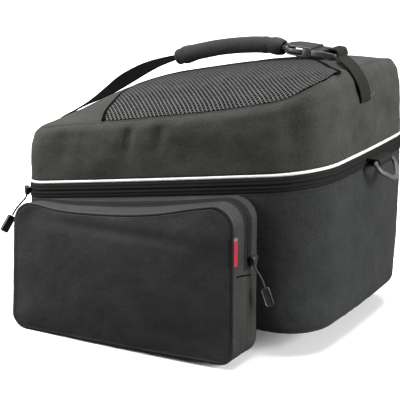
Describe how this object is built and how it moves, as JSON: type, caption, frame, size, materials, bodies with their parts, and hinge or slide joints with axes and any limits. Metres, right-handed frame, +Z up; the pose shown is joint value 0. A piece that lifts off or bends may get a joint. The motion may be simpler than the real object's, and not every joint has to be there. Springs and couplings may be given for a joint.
{
  "type": "bicycle_trunk_bag",
  "caption": "Soft zip-lidded trunk bag for a bicycle carrier, sloping lid with a mesh net on top, side pocket, padded handle with side-squeeze buckle, and a strap ring at the rear.",
  "frame": {"origin": "Centre of the flat underside of the carrier plate, on the surface the bag stands on.", "axes": "+Z up, +X along the bag towards its higher rear end, +Y away from the side that carries the pocket."},
  "size_m": [0.4208, 0.3275, 0.3097],
  "materials": {
    "shell_cloth": "dark grey woven polyester",
    "lid_cloth": "mid grey woven polyester",
    "mesh_cloth": "ribbed air mesh",
    "piping_film": "pale reflective film",
    "zip_tape": "black woven zip tape",
    "webbing": "black webbing",
    "grip_cloth": "padded cloth wrap",
    "moulded_plastic": "moulded nylon",
    "tag_cloth": "woven red",
    "plate_plastic": "satin"
  },
  "bodies": {
    "bag": {"body_shell": "shell_cloth", "buckle_prong": "moulded_plastic", "buckle_socket": "moulded_plastic", "carrier_plate": "plate_plastic", "front_ring": "moulded_plastic", "grip": "grip_cloth", "grip_stub": "webbing", "lid_hinge": "lid_cloth", "lid_shell": "lid_cloth", "main_cord": "webbing", "main_pull": "moulded_plastic", "main_slider": "moulded_plastic", "mesh_binding": "webbing", "mesh_panel": "mesh_cloth", "piping": "piping_film", "pocket_back": "shell_cloth", "pocket_coil": "zip_tape", "pocket_cord": "webbing", "pocket_front": "shell_cloth", "pocket_gusset": "shell_cloth", "pocket_pull": "moulded_plastic", "pocket_slider": "moulded_plastic", "pocket_zip": "zip_tape", "ring_tab": "webbing", "side_tag": "tag_cloth", "strap_front": "webbing", "strap_rear": "webbing", "zip_band": "zip_tape", "zip_coil": "zip_tape"},
    "ring": {"strap_ring": "moulded_plastic"}
  },
  "joints": [
    {"name": "ring_swing", "type": "hinge", "parent": "bag", "child": "ring", "pos_m": [0.1968, 0.002, 0.18904], "axis": [0, 1, 0], "range_deg": [-75, 55]}
  ]
}
